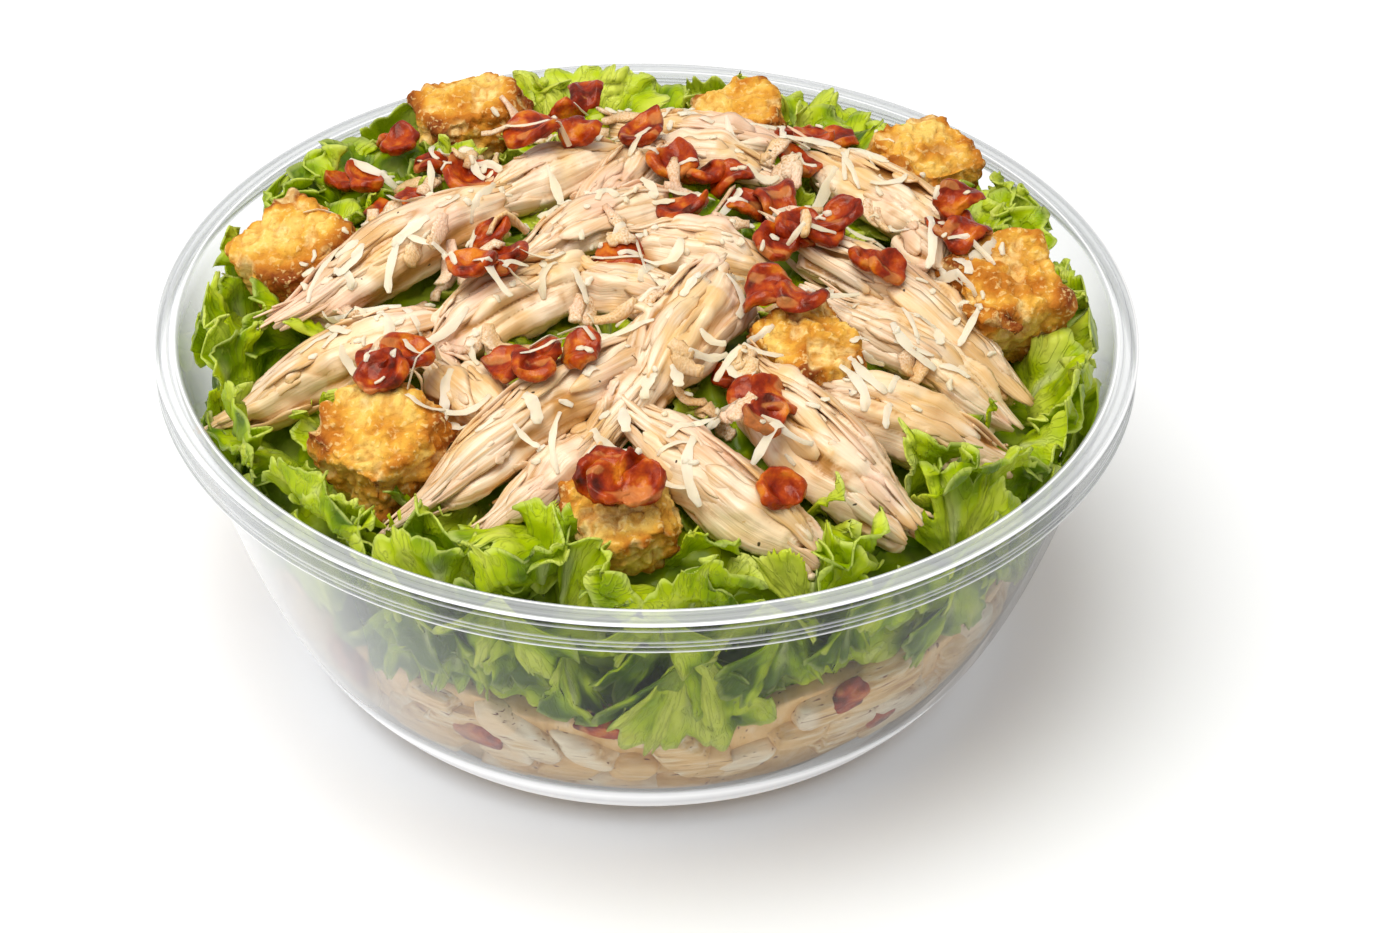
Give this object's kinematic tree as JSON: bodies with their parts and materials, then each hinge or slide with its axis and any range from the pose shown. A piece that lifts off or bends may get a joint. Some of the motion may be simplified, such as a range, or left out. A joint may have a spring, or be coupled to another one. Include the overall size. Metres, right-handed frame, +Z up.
{
  "type": "chicken caesar salad in a clear bowl",
  "caption": "Round clear plastic bowl heaped with frilly lettuce over a chicken mix, topped with pulled chicken, bread croutons, bacon bits and shreds of hard cheese.",
  "frame": {"origin": "middle of the bowl's foot, on the surface it stands on", "axes": "+Z up; -Y towards the front, +X to the right"},
  "size_m": [0.185, 0.185, 0.0919],
  "materials": {
    "clear_plastic": "clear, smooth, thin-walled, with a slight milky haze",
    "chicken_mix": "moist cream chicken and dressing, pressed against the wall",
    "lettuce_leaf": "fresh yellow-green leaf with pale ribs and a waxy sheen",
    "chicken_meat": "pulled cooked breast, fibrous, lightly dressed",
    "crouton_crust": "toasted golden crust, pitted and crumbly",
    "bacon_rasher": "fried, glossy, deep red-brown with paler fat"
  },
  "bodies": {
    "root": {"bowl": "clear_plastic", "chicken_bed": "chicken_mix", "lettuce": "lettuce_leaf", "chicken_01": "chicken_meat", "chicken_02": "chicken_meat", "chicken_03": "chicken_meat", "chicken_04": "chicken_meat", "chicken_05": "chicken_meat", "chicken_06": "chicken_meat", "chicken_07": "chicken_meat", "chicken_08": "chicken_meat", "chicken_09": "chicken_meat", "chicken_10": "chicken_meat", "chicken_11": "chicken_meat", "chicken_12": "chicken_meat", "chicken_13": "chicken_meat", "chicken_14": "chicken_meat", "chicken_15": "chicken_meat", "chicken_16": "chicken_meat", "chicken_17": "chicken_meat", "chicken_18": "chicken_meat", "chicken_19": "chicken_meat", "chicken_20": "chicken_meat", "chicken_21": "chicken_meat", "crouton_01": "crouton_crust", "crouton_02": "crouton_crust", "crouton_03": "crouton_crust", "crouton_04": "crouton_crust", "crouton_05": "crouton_crust", "crouton_06": "crouton_crust", "crouton_07": "crouton_crust", "crouton_08": "crouton_crust", "bacon_01": "bacon_rasher", "bacon_02": "bacon_rasher", "bacon_03": "bacon_rasher", "bacon_04": "bacon_rasher", "bacon_05": "bacon_rasher", "bacon_06": "bacon_rasher", "bacon_07": "bacon_rasher", "bacon_08": "bacon_rasher", "bacon_09": "bacon_rasher", "bacon_10": "bacon_rasher", "bacon_11": "bacon_rasher", "bacon_12": "bacon_rasher", "bacon_13": "bacon_rasher", "bacon_14": "bacon_rasher", "bacon_15": "bacon_rasher", "bacon_16": "bacon_rasher", "bacon_17": "bacon_rasher", "bacon_18": "bacon_rasher", "bacon_19": "bacon_rasher", "bacon_20": "bacon_rasher", "bacon_21": "bacon_rasher", "bacon_22": "bacon_rasher", "bacon_23": "bacon_rasher", "bacon_24": "bacon_rasher", "bacon_25": "bacon_rasher", "bacon_26": "bacon_rasher", "bacon_27": "bacon_rasher", "bacon_28": "bacon_rasher"}
  },
  "joints": []
}
